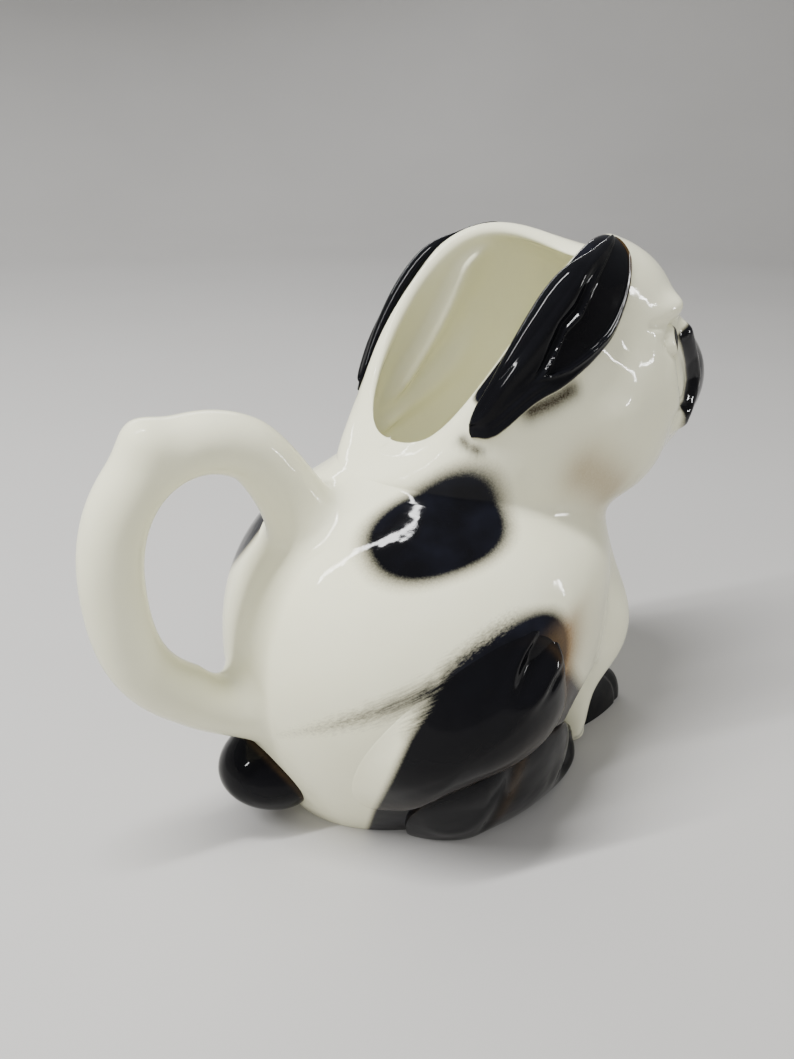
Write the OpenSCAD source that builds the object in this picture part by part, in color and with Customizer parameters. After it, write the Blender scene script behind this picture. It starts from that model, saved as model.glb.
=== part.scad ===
// Crouching rabbit cream jug in glazed earthenware: two hollow castings, body and head, and
// solid castings luted on with slip. Millimetres. +X is the way the rabbit faces, +Y is its
// left side, +Z is up, and the origin is on the table under the middle of the body.

/* [Body] */
// Length of the flat base, chest to rump
base_length = 73; // [69:1:77]
// Width of the flat base
base_width = 55; // [51:1:58]
// Length of the belly at its fullest
belly_length = 88; // [84:1:92]
// Width of the belly at its fullest
belly_width = 83; // [78:1:88]
// How far the middle of the belly stands in front of the origin
belly_shift = -6; // [-8:0.5:-4]
// Share by which the hips are drawn in below the belly
hip_tuck = 0.25; // [0.1:0.05:0.4]
// Further share by which the chest is drawn in above the forepaws
chest_tuck = 0.3; // [0.15:0.05:0.45]
// Length of the neck joint
neck_length = 64; // [61:1:67]
// Width of the neck joint
neck_width = 52; // [49:1:55]
// Height of the neck joint at its sides
neck_height = 69; // [67:0.5:70]
// Drop of the neck joint from nape to throat
neck_drop = 15; // [12:1:18]
// How far the neck joint sits in front of the origin
neck_shift = 10; // [8:0.5:12]
// Thickness of the cast wall
wall = 4; // [3:0.25:5]

/* [Head and mouth] */
// Width of the head at the cheeks
head_width = 56; // [53:1:60]
// How far the face stands in front of the origin
face_reach = 62.5; // [59:0.5:66]
// Fullness of the cheeks in front of the ears
cheek_fullness = 0.65; // [0.4:0.05:0.8]
// Height of the pouring lip above the forehead
lip_height = 117.5; // [114:0.5:121]
// How far the pouring lip stands in front of the origin
lip_reach = 42; // [39:0.5:45]
// Height of the rim at the nape
nape_height = 80; // [79:0.5:82]
// How far the rim at the nape stands in front of the neck joint
nape_set = 6; // [4:0.5:8]
// Width of the mouth over its rim
mouth_width = 47; // [43:1:50]
// Height of the rim where the mouth is widest
mouth_height = 109.5; // [106:0.5:112]
// Rise of the rim on both sides of the pouring lip
lip_dip = 3.3; // [1.5:0.1:4]
// How far the muzzle stands in front of the face
muzzle_length = 16; // [12:0.5:18]
// Height of the middle of the muzzle
muzzle_height = 84; // [81:0.5:87]

/* [Ears] */
// Width of an ear
ear_width = 13; // [11:0.5:15]
// Thickness of an ear
ear_thickness = 3; // [2:0.25:4]
// Depth of the fold along an ear
ear_fold = 0.8; // [0.2:0.1:1.2]

/* [Handle] */
// How far the handle's centre line reaches behind the origin
handle_reach = 73; // [70:0.5:78]
// Height of the rearmost point of the handle
handle_middle = 64; // [60:1:67]
// Height of the handle's shoulder above its rearmost point
handle_rise = 31; // [28:0.5:34]
// Thickness of the handle
handle_thickness = 12; // [10:0.25:14]
// Thickness of the handle where it meets the body
handle_root = 18; // [16:0.5:20]
// Height of the thumb rest above the handle
thumb_rest = 3; // [1:0.25:4]

/* [Legs and tail] */
// How far the tail stands out behind the rump
tail_length = 10; // [8:0.5:12]
// How far a haunch stands out from the flank
haunch_bulge = 5; // [3.5:0.25:6.5]
// How far a shoulder stands out from the chest
shoulder_bulge = 4; // [3:0.25:5]
// Height of a hind foot
hind_foot_height = 12; // [10:0.5:14]
// How far a hind foot stands out at the base
hind_foot_width = 3.5; // [2.5:0.5:5]
// Height of a forepaw
forepaw_height = 14; // [12:0.5:16]
// How far a forepaw reaches forward from the base
forepaw_reach = 19; // [16:0.5:21]

/* [Joints] */
// Thickness of the slip layer between two castings
slip = 0.25; // [0.2:0.05:0.35]

/* [Hidden] */
white = [0.93, 0.92, 0.87];
black = [0.06, 0.06, 0.07];

// Facets: round a casting, up the body, up the head, round a small casting and along one.
around = 50;
body_steps = 16;
head_steps = 18;
small_around = 24;
small_steps = 12;
section_steps = 8;
// Degrees by which the facets of a ring crowd to the front, where the face is.
crowd = 18;
turn = [for (j = [0:around - 1]) let (q = 360 * j / around) q - crowd * sin(q)];

// Middle of the flat base, in front of the origin.
base_shift = -2.5;
// Heights of the hips and chest that shape the body, as shares of the neck's height.
hip_level = 0.27;
chest_level = 0.8;
// Where the mouth and the cheeks are widest, in front of the origin.
mouth_middle = 8;
jaw_middle = 18;
brow_middle = 16;
// Height of the jaw above the neck joint, and of the temples below the rim.
jaw_rise = 9;
temple_drop = 9;
// Spread of the muzzle along, across and up the face.
muzzle_spread = [24, 17, 18];

// Ear: angles of its front and tip round the head, and the rim left free above it.
ear_front = 47;
ear_tip = 126;
rim_free = 0.5;
// Ear section: thickness share at its edges, and place and spread of the fold, as shares of the width.
edge_share = 0.3;
fold_line = 0.4;
fold_spread = 0.12;

// Angle of the middle of the rump, and small steps of angle and height share that measure the body.
rump = 180;
nudge = [1, 0.02];

// Swellings on the body: [angle, height share] of the middle, [angle, height share] half sizes.
tail_spot = [rump, 0.16];
tail_spread = [20, 0.118];
tail_peak = [0, 0.45];
haunch_spot = [-110, 0.415];
haunch_spread = [30, 0.24];
haunch_lean = 0.0065;
haunch_peak = [0.25, 0];
foreleg_spot = [-36, 0.57];
foreleg_spread = [15, 0.32];
foreleg_peak = [0, 0.4];

// Feet: angles of heel and toe round the base; a hind foot's are counted from the haunch over it.
hind_reach = [-14, 67];
hind_heel = haunch_spot[0] + hind_reach[0];
hind_toe = haunch_spot[0] + hind_reach[1];
fore_heel = -40;
fore_toe = -12;
// How blunt the ends of a foot are: 0.5 is an oval, less is blunter.
foot_fullness = 0.32;
// How full a foot is over its outer edge: 1 is an oval section, less is squarer.
foot_round = 0.7;

// Handle: height shares of its joints on the body and the pull of its curve at each joint.
upper_joint = 0.88;
lower_joint = 0.385;
upper_pull = [-6, 0, 26];
lower_pull = [-16, 0, 8];
rear_pull = 20;
flare_share = 0.08;
thumb_share = 0.31;
thumb_spread = 0.03;

function unit(v) = v / norm(v);
function lift(p, z) = [p[0], p[1], z];
function inward(p, c, d) = p + d * unit(c - p);
function cubic(p, t) =
    p[0] * pow(1 - t, 3) + 3 * p[1] * t * pow(1 - t, 2) + 3 * p[2] * t * t * (1 - t) + p[3] * pow(t, 3);
// The two equal middle handles that take a cubic from a to b through m at its half way.
function through(a, m, b) = (8 * m - a - b) / 6;

// A smooth closed loop through a front [x, z], a back [x, z] and a side [x, half width, z],
// made wider in front of the side by the share full.
function loop(front, back, side, a, full = 0) =
    let (c = cos(a), mid = (front + back) / 2, half = (front - back) / 2)
    [side[0] + half[0] * c + (mid[0] - side[0]) * c * c,
     side[1] * sin(a) * (1 + full * pow(max(c, 0), 2)),
     side[2] + half[1] * c + (mid[1] - side[2]) * c * c];
function oval(shift, length, width, a) = [shift + length / 2 * cos(a), width / 2 * sin(a), 0];

// Body surface at angle a from the front and height share t from the base to the neck joint.
neck_middle = [neck_shift, 0, neck_height];
neck_front = [neck_shift + neck_length / 2, neck_height - neck_drop / 2];
neck_back = [neck_shift - neck_length / 2, neck_height + neck_drop / 2];
function neck_at(a) = loop(neck_front, neck_back, [neck_shift, neck_width / 2, neck_height], a);
function body_curve(a) =
    let (base = oval(base_shift, base_length, base_width, a), neck = neck_at(a),
         full = through(base, oval(belly_shift, belly_length, belly_width, a), neck),
         hip = full - (hip_tuck + chest_tuck * pow(max(cos(a), 0), 2)) * (full - base),
         chest = 2 * full - hip)
    [base, lift(hip, neck[2] * hip_level), lift(chest, neck[2] * chest_level), neck];
function body_at(a, t) = cubic(body_curve(a), t);
function body_out(a, t) =
    unit(cross(body_at(a + nudge[0], t) - body_at(a - nudge[0], t),
               body_at(a, t + nudge[1]) - body_at(a, max(t - nudge[1], 0))));
function on_body(a, t, h) =
    let (p = body_at(a, t) + h * body_out(a, t))
    lift(p, max(p[2], 0));

// Head surface at angle a from the front and share t from the neck joint to the rim.
lip = [lip_reach, lip_height];
nape = [neck_back[0] + nape_set, nape_height];
function rim_at(a) =
    loop(lip, nape, [mouth_middle, mouth_width / 2, mouth_height], a)
    + [0, 0, lip_dip * (cos(a) - cos(3 * a))];
function head_curve(a) =
    let (front = through(neck_front[0], face_reach, lip_reach),
         wide = through(neck_width / 2, head_width / 2, mouth_width / 2))
    [neck_at(a),
     loop([front, neck_front[1]], neck_back, [jaw_middle, wide, neck_height + jaw_rise], a, cheek_fullness),
     loop([front, lip_height], nape, [brow_middle, wide, mouth_height - temple_drop], a, cheek_fullness),
     rim_at(a)];
function head_at(a, t) = cubic(head_curve(a), t);
function head_out(a, t) =
    unit(cross(head_at(a + nudge[0], t) - head_at(a - nudge[0], t),
               head_at(a, min(t + nudge[1], 1)) - head_at(a, t - nudge[1])));
function head_middle(t) = (head_at(0, t) + head_at(rump, t)) / 2;
function muzzle_at(p) =
    let (d = p - [face_reach, 0, muzzle_height])
    muzzle_length * exp(-pow(norm([for (i = [0:2]) d[i] / muzzle_spread[i]]), 3));
function face_at(a, t) =
    let (p = head_at(a, t))
    p + [muzzle_at(p), 0, 0];

// A solid through a list of rings, with flat ends or with the last ring joined to the first.
module skin(rings, ends = true) {
    n = len(rings[0]);
    m = len(rings);
    sides = [for (i = [0:m - (ends ? 2 : 1)], j = [0:n - 1])
        let (k = (j + 1) % n, u = i * n, v = (i + 1) % m * n)
        each [[u + j, v + j, v + k], [u + j, v + k, u + k]]];
    caps = ends ? [[for (j = [0:n - 1]) j], [for (j = [n - 1:-1:0]) (m - 1) * n + j]] : [];
    polyhedron([for (r = rings) each r], concat(caps, sides));
}

// The belly: up the outside, in over the neck joint, and down the inside to the floor.
module body() {
    low = 1 / body_steps;
    outside = [for (i = [0:body_steps]) [for (a = turn) body_at(a, i * low)]];
    joint = [for (a = turn) inward(neck_at(a), neck_middle, wall)];
    inside = [for (i = [body_steps - 1:-1:2]) [for (a = turn) on_body(a, i * low, -wall)]];
    floor_ring = [for (a = turn) lift(on_body(a, low, -wall), wall)];
    color(white)
    skin(concat(outside, [joint], inside, [floor_ring]));
}

// The head: up the outside from the neck joint, over the rounded rim and down the inside.
module head() {
    low = 1 / head_steps;
    seat = slip * unit([neck_drop, 0, neck_length]);
    outside = [for (i = [0:head_steps]) [for (a = turn) face_at(a, i * low) + (1 - i * low) * seat]];
    inside = [for (i = [head_steps:-1:0]) [for (a = turn)
        inward(head_at(a, i * low), head_middle(i * low), wall) + (1 - i * low) * seat]];
    rim = [for (b = [45, 90, 135]) [for (a = turn)
        let (o = rim_at(a), q = inward(o, head_middle(1), wall), up = unit(o - head_at(a, 1 - low)))
        (o + q) / 2 + cos(b) * (o - q) / 2 + sin(b) * wall / 2 * up]];
    color(white)
    skin(concat(outside, rim, inside), ends = false);
}

// A folded leaf on the side of the head, its upper edge along the rim.
module ear() {
    color(black)
    skin([for (i = [0:small_steps])
        let (u = 0.02 + 0.96 * i / small_steps, a = -(ear_tip + (ear_front - ear_tip) * u),
             span = 2 * norm(rim_at(a) - head_at(a, 0.5)),
             across = ear_width * pow(sin(180 * pow(u, 1.2)), 0.7),
             thick = ear_thickness * sqrt(sin(180 * u)))
        concat(
            [for (j = [0:section_steps])
                let (v = j / section_steps, t = 1 - (rim_free + across * v) / span,
                     fold = ear_fold / ear_thickness * exp(-pow((v - fold_line) / fold_spread, 2)),
                     swell = edge_share + (1 - edge_share) * sqrt(sin(180 * v)))
                head_at(a, t) + head_out(a, t) * (slip + thick * (swell - fold))],
            [for (j = [section_steps:-1:0])
                let (t = 1 - (rim_free + across * j / section_steps) / span)
                head_at(a, t) + head_out(a, t) * slip])]);
}

// A rounded swelling over an oval patch of the body, higher towards its front and top by the shares peak.
function patch_ring(spot, spread, lean, r, h, peak) =
    [for (j = [0:small_around - 1])
        let (q = 360 * j / small_around, da = spread[0] * r * cos(q), dt = spread[1] * r * sin(q) + lean * da)
        on_body(spot[0] + da, spot[1] + dt, slip + h * (1 + r * (peak[0] * cos(q) + peak[1] * sin(q))))];
module swelling(spot, spread, rise, lean = 0, peak = [0, 0]) {
    skin(concat(
        [for (r = [0.08, 0.3, 0.55, 0.78, 0.98]) patch_ring(spot, spread, lean, r, 0, peak)],
        [for (s = [10:10:80]) patch_ring(spot, spread, lean, cos(s), rise * sin(s), peak)]));
}
module tail() {
    color(black)
    swelling(tail_spot, tail_spread, tail_length, 0, tail_peak);
}
module haunch() {
    color(black)
    swelling(haunch_spot, haunch_spread, haunch_bulge, haunch_lean, haunch_peak);
}
module foreleg() {
    color(white)
    swelling(foreleg_spot, foreleg_spread, shoulder_bulge, 0, foreleg_peak);
}

// A foot along the lower edge of the body, flat on the table, that points straight ahead or away from the base.
module foot(heel, toe, width, height, ahead = false) {
    color(black)
    skin([for (i = [0:small_steps])
        let (u = 0.5 - 0.498 * cos(180 * i / small_steps), a = heel + (toe - heel) * u,
             k = pow(sin(180 * u), foot_fullness), top = height * k / neck_height,
             side = ahead ? [1, 0, 0] : [cos(a), sin(a), 0])
        concat(
            [for (j = [0:section_steps]) on_body(a, top * j / section_steps, slip)],
            [for (j = [section_steps - 1:-1:0])
                let (s = 90 * j / section_steps)
                on_body(a, top * sin(s), slip) + width * k * pow(cos(s), foot_round) * side])]);
}
module hind_foot() {
    foot(hind_heel, hind_toe, hind_foot_width, hind_foot_height);
}
module forepaw() {
    foot(fore_heel, fore_toe, forepaw_reach, forepaw_height, ahead = true);
}

// The handle: a loop in the middle plane from behind the nape, round and down to the rump.
function joint_ring(t, k, way) =
    [for (j = [0:small_around - 1])
        let (q = 360 * j / small_around, r = handle_root / 2 * k,
             along = norm(body_at(rump, t + nudge[1]) - body_at(rump, t - nudge[1])) / (2 * nudge[1]),
             across = norm(body_at(rump + nudge[0], t) - body_at(rump - nudge[0], t)) / (2 * nudge[0]))
        on_body(rump - r * sin(q) / across, t + way * r * cos(q) / along, slip)];
module handle() {
    steps = 30;
    top = body_at(rump, upper_joint);
    low = body_at(rump, lower_joint);
    rear = [-handle_reach, 0, handle_middle];
    upper = [top, top + upper_pull, rear + [0, 0, handle_rise], rear];
    lower = [rear, rear - [0, 0, rear_pull], low + lower_pull, low];
    line = [for (i = [0:steps]) let (s = 2 * i / steps) s < 1 ? cubic(upper, s) : cubic(lower, s - 1)];
    tube = [for (i = [2:steps - 2])
        let (up = cross([0, 1, 0], unit(line[i + 1] - line[i - 1])), s = i / steps,
             flare = exp(-pow(s / flare_share, 2)) + exp(-pow((1 - s) / flare_share, 2)),
             r = handle_thickness / 2 + (handle_root - handle_thickness) / 2 * flare,
             peak = thumb_rest * exp(-pow((s - thumb_share) / thumb_spread, 2)))
        [for (j = [0:small_around - 1])
            let (q = 360 * j / small_around)
            line[i] + (r + peak * pow(max(0, cos(q)), 3)) * (cos(q) * up + sin(q) * [0, 1, 0])]];
    color(white)
    skin(concat(
        [for (k = [0.1, 0.5, 1]) joint_ring(upper_joint, k, 1)],
        tube,
        [for (k = [1, 0.5, 0.1]) joint_ring(lower_joint, k, -1)]));
}

module left() {
    mirror([0, 1, 0])
    children();
}

body();
head();
ear();  // right_ear
left() ear();  // left_ear
handle();
tail();
haunch();  // right_haunch
left() haunch();  // left_haunch
hind_foot();  // right_hind_foot
left() hind_foot();  // left_hind_foot
foreleg();  // right_foreleg
left() foreleg();  // left_foreleg
forepaw();  // right_forepaw
left() forepaw();  // left_forepaw
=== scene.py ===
"""Dresses the rabbit cream jug: glazed castings, airbrushed markings and a plain studio."""
import logging
import math
from dataclasses import dataclass
from enum import Enum
from typing import Any, Sequence

import bpy
import numpy as np
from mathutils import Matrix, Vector


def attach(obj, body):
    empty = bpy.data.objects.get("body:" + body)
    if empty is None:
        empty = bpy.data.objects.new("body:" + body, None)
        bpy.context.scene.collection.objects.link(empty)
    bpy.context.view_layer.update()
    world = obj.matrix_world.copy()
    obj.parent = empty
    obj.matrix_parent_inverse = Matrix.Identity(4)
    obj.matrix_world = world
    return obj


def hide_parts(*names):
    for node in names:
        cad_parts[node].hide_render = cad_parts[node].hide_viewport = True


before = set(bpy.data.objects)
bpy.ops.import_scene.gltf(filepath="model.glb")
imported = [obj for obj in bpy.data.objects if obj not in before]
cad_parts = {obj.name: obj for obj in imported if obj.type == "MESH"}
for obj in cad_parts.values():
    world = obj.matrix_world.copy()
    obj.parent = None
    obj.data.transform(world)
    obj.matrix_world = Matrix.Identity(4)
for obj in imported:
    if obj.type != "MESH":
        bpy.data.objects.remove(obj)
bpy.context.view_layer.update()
LOG = logging.getLogger("rabbit_jug")
MM = 0.001
Array = np.ndarray
Marks = dict[str, Array]
Line = tuple[tuple[float, float, float], ...]
UNPAINTED = -40.0
COVERED = 6.0


class Side(Enum):
    """The rabbit's two sides, with the sign of their y."""

    RIGHT = -1
    LEFT = 1

    def node(self, part: str) -> str:
        """Name of the node of a paired part on this side."""
        return f"{self.name.lower()}_{part}"


def smooth_step(low: float, high: float, value: Array) -> Array:
    """Rises smoothly from 0 at low to 1 at high; low may be the larger."""
    share = np.clip((value - low) / (high - low), 0.0, 1.0)
    return share * share * (3.0 - 2.0 * share)


def bell(value: Array, width: float) -> Array:
    """A bell curve of the value, 1 at 0."""
    return np.exp(-((value / width) ** 2))


def soft_min(*values: Array, round_mm: float = 1.5) -> Array:
    """The least of several distances, with its corners rounded."""
    total = sum(np.exp(-np.clip(v, -60, 60) / round_mm) for v in values)
    return -round_mm * np.log(total)


def unit(vector: Array) -> Array:
    """The vectors at length 1."""
    return vector / np.maximum(np.linalg.norm(vector, axis=-1, keepdims=True), 1e-9)


def half_turn(angle: Array) -> Array:
    """Degrees brought between -180 and 180."""
    return (angle + 180) % 360 - 180


def eased(value: Array, at: Sequence[float], table: Sequence[float], reach: float, reads: int) -> Array:
    """A table read with its corners rounded.

    Args:
        value: Where the table is read.
        at: Where the table's values lie.
        table: The table's values.
        reach: How far to each side a corner is rounded.
        reads: Number of readings that are averaged.

    Returns:
        The rounded values.
    """
    return np.mean([np.interp(value + shift, at, table) for shift in np.linspace(-reach, reach, reads)], 0)


def near_line(points: Array, corners: Sequence[Sequence[float]]) -> Array:
    """Distance of each point from a line through corners, or from a single corner.

    Args:
        points: Places in millimetres.
        corners: Corners of the line in millimetres.

    Returns:
        Millimetres from the nearest part of the line.
    """
    best = np.linalg.norm(points - np.array(corners[0], float), axis=-1)
    for start, end in zip(corners[:-1], corners[1:]):
        a, b = np.array(start, float), np.array(end, float)
        along = np.clip(((points - a) @ (b - a)) / ((b - a) @ (b - a)), 0, 1)
        best = np.minimum(best, np.linalg.norm(points - a - along[..., None] * (b - a), axis=-1))
    return best


@dataclass(frozen=True)
class JugForm:
    """The jug's own surfaces, in millimetres, by angle from the front and level.

    Level 0 is the base, 1 the neck joint and 2 the rim.
    """

    base: tuple[float, float] = (73.0, 55.0)
    base_shift: float = -2.5
    belly: tuple[float, float] = (88.0, 83.0)
    belly_shift: float = -6.0
    hip_tuck: float = 0.25
    chest_tuck: float = 0.3
    hip_level: float = 0.27
    chest_level: float = 0.8
    neck: tuple[float, float, float] = (64.0, 52.0, 69.0)
    neck_drop: float = 15.0
    neck_shift: float = 10.0
    neck_fillet: float = 0.065
    fillet_spread: float = 0.2
    fillet_reads: int = 25
    wall: float = 4.0
    head_width: float = 56.0
    face_reach: float = 62.5
    cheek_fullness: float = 0.65
    jaw: tuple[float, float] = (18.0, 9.0)
    brow: tuple[float, float] = (16.0, 9.0)
    lip: tuple[float, float] = (42.0, 117.5)
    nape_height: float = 80.0
    nape_set: float = 6.0
    mouth: tuple[float, float, float] = (8.0, 47.0, 109.5)
    lip_dip: float = 3.3
    muzzle_length: float = 16.0
    muzzle_middle: tuple[float, float, float] = (62.5, 0.0, 84.0)
    muzzle_spread: tuple[float, float, float] = (24.0, 17.0, 18.0)
    chest_hollow: float = 8.0
    chest_turn: tuple[float, float] = (25.0, 40.0)
    waist_hollow: float = 5.0
    waist_turn: tuple[float, float] = (54.0, 11.0)
    hollow_foot: float = 0.12
    hollow_top: tuple[float, float] = (0.3, 0.52)

    @staticmethod
    def loop(front: Sequence[float], back: Sequence[float], side: Sequence[float],
             angle: Array, full: float = 0.0) -> Array:
        """A smooth closed loop through a front, a back and a side.

        Args:
            front: x and z in front.
            back: x and z behind.
            side: x, half width and z at the side.
            angle: Degrees from the front.
            full: Share by which it is wider in front of the side.

        Returns:
            Places on the loop.
        """
        c, s = np.cos(np.radians(angle)), np.sin(np.radians(angle))
        mid = [(f + b) / 2 for f, b in zip(front, back)]
        half = [(f - b) / 2 for f, b in zip(front, back)]
        return np.stack([
            side[0] + half[0] * c + (mid[0] - side[0]) * c * c,
            side[1] * s * (1 + full * np.maximum(c, 0) ** 2),
            side[2] + half[1] * c + (mid[1] - side[2]) * c * c,
        ], -1)

    @staticmethod
    def cubic(a: Array, b: Array, c: Array, d: Array, share: Array) -> Array:
        """A cubic curve by its four points."""
        t = np.asarray(share)[..., None]
        return a * (1 - t) ** 3 + 3 * b * t * (1 - t) ** 2 + 3 * c * t * t * (1 - t) + d * t ** 3

    @staticmethod
    def through(a: Any, middle: Any, b: Any) -> Any:
        """The equal middle points that take a cubic from a to b through a middle."""
        return (8 * middle - a - b) / 6

    @property
    def neck_ends(self) -> tuple[tuple[float, float], tuple[float, float]]:
        """x and z of the neck joint at the throat and at the nape."""
        x, z = self.neck_shift, self.neck[2]
        half, drop = self.neck[0] / 2, self.neck_drop / 2
        return (x + half, z - drop), (x - half, z + drop)

    def neck_at(self, angle: Array) -> Array:
        """The neck joint."""
        front, back = self.neck_ends
        return self.loop(front, back, (self.neck_shift, self.neck[1] / 2, self.neck[2]), angle)

    def oval(self, size: tuple[float, float], shift: float, angle: Array) -> Array:
        """A flat oval."""
        c, s = np.cos(np.radians(angle)), np.sin(np.radians(angle))
        return np.stack([shift + size[0] / 2 * c, size[1] / 2 * s, 0 * c], -1)

    def body_at(self, angle: Array, share: Array) -> Array:
        """The belly from the base to the neck joint."""
        base, neck = self.oval(self.base, self.base_shift, angle), self.neck_at(angle)
        full = self.through(base, self.oval(self.belly, self.belly_shift, angle), neck)
        tuck = self.hip_tuck + self.chest_tuck * np.maximum(np.cos(np.radians(angle)), 0) ** 2
        hip = full - tuck[..., None] * (full - base)
        chest = 2 * full - hip
        hip[..., 2] = neck[..., 2] * self.hip_level
        chest[..., 2] = neck[..., 2] * self.chest_level
        return self.cubic(base, hip, chest, neck, share)

    def rim_at(self, angle: Array) -> Array:
        """The outer edge of the rim."""
        nape = (self.neck_ends[1][0] + self.nape_set, self.nape_height)
        rim = self.loop(self.lip, nape, (self.mouth[0], self.mouth[1] / 2, self.mouth[2]), angle)
        rim[..., 2] += self.lip_dip * (np.cos(np.radians(angle)) - np.cos(np.radians(3 * angle)))
        return rim

    def head_at(self, angle: Array, share: Array) -> Array:
        """The head from the neck joint to the rim, without its muzzle."""
        throat, back = self.neck_ends
        nape = (back[0] + self.nape_set, self.nape_height)
        front = self.through(throat[0], self.face_reach, self.lip[0])
        wide = self.through(self.neck[1] / 2, self.head_width / 2, self.mouth[1] / 2)
        jaw = (self.jaw[0], wide, self.neck[2] + self.jaw[1])
        brow = (self.brow[0], wide, self.mouth[2] - self.brow[1])
        low = self.loop((front, throat[1]), back, jaw, angle, self.cheek_fullness)
        high = self.loop((front, self.lip[1]), nape, brow, angle, self.cheek_fullness)
        return self.cubic(self.neck_at(angle), low, high, self.rim_at(angle), share)

    def muzzle_depth(self, points: Array) -> Array:
        """Distance from the middle of the muzzle, in muzzle sizes."""
        return np.linalg.norm((points - np.array(self.muzzle_middle)) / np.array(self.muzzle_spread), axis=-1)

    def bare(self, angle: Array, level: Array) -> Array:
        """The outside before the neck is softened."""
        body = self.body_at(angle, np.clip(level, 0, 1))
        head = self.head_at(angle, np.clip(level - 1, 0, 1))
        return np.where((level < 1)[..., None], body, head)

    def skin(self, angle: Array, level: Array) -> Array:
        """The outside: softened over the neck joint, muzzle drawn out, chest and waist hollowed."""
        angle, level = np.broadcast_arrays(np.asarray(angle, float), np.asarray(level, float))
        reach = self.neck_fillet * bell(level - 1, self.fillet_spread)
        steps = np.linspace(-2.0, 2.0, self.fillet_reads)
        weights = bell(steps, 1.2)
        points = sum(w * self.bare(angle, level + s * reach) for s, w in zip(steps, weights)) / weights.sum()
        points[..., 0] += self.muzzle_length * np.exp(-self.muzzle_depth(points) ** 3)
        turn = np.abs(half_turn(angle))
        low = smooth_step(*self.hollow_top[::-1], level) * smooth_step(0.0, self.hollow_foot, level)
        points[..., 0] -= self.chest_hollow * smooth_step(*self.chest_turn[::-1], turn) * low
        waist = self.waist_hollow * bell(turn - self.waist_turn[0], self.waist_turn[1]) * low
        points[..., :2] -= waist[..., None] * unit(points[..., :2])
        return points

    def out(self, angle: Array, level: Array) -> Array:
        """The outward normal of the outside."""
        da, dl = 0.6, 0.008
        low, high = np.clip(level - dl, 0, 2), np.clip(level + dl, 0, 2)
        return unit(np.cross(self.skin(angle + da, level) - self.skin(angle - da, level),
                             self.skin(angle, high) - self.skin(angle, low)))

    def on(self, angle: Array, level: Array, height: Array | float) -> Array:
        """A place at a height over the outside, never under the table."""
        angle, level, height = np.broadcast_arrays(angle, level, height)
        points = self.skin(angle, level) + np.asarray(height)[..., None] * self.out(angle, level)
        points[..., 2] = np.maximum(points[..., 2], 0.0)
        return points

    def scale(self, angle: float, level: float) -> tuple[float, float]:
        """Millimetres for a degree and for a level at one place on the outside."""
        da, dl = 2.0, 0.03
        around = np.linalg.norm(self.skin(angle + da, level) - self.skin(angle - da, level))
        up = np.linalg.norm(self.skin(angle, level + dl) - self.skin(angle, level - dl))
        return around / (2 * da), up / (2 * dl)


FORM = JugForm()


@dataclass(frozen=True)
class Patch:
    """An oval patch of the outside: middle and half sizes in degrees and levels."""

    middle: tuple[float, float]
    spread: tuple[float, float]
    lean: float = 0.0

    def local(self, angle: Array, level: Array) -> tuple[Array, Array]:
        """Forward and upward shares of the patch, 1 at its edge."""
        turn = angle - self.middle[0]
        return turn / self.spread[0], (level - self.middle[1] - self.lean * turn) / self.spread[1]

    def place(self, forward: Array, upward: Array) -> tuple[Array, Array]:
        """Angle and level of a place given in shares of the patch."""
        turn = self.spread[0] * forward
        return self.middle[0] + turn, self.middle[1] + self.spread[1] * upward + self.lean * turn


HAUNCH = Patch((-110.0, 0.415), (30.0, 0.24), 0.0065)
FORELEG = Patch((-36.0, 0.45), (15.0, 0.445))
TAIL = Patch((180.0, 0.16), (20.0, 0.118))


@dataclass(frozen=True)
class Spot:
    """A sprayed oval spot: middle, two directions and half sizes in millimetres."""

    middle: tuple[float, float, float]
    along: tuple[float, float, float]
    across: tuple[float, float, float]
    half: tuple[float, float]
    depth: float = 16.0
    squareness: float = 2.3
    edge_power: float = 0.45

    def inside(self, points: Array) -> Array:
        """Millimetres inside the edge of the spot."""
        away = points - np.array(self.middle)
        u, v = away @ np.array(self.along) / self.half[0], away @ np.array(self.across) / self.half[1]
        w = away @ np.cross(self.along, self.across) / self.depth
        square = np.abs(u) ** self.squareness + np.abs(v) ** self.squareness + np.abs(w) ** 4
        return (1 - square ** self.edge_power) * min(self.half)


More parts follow.
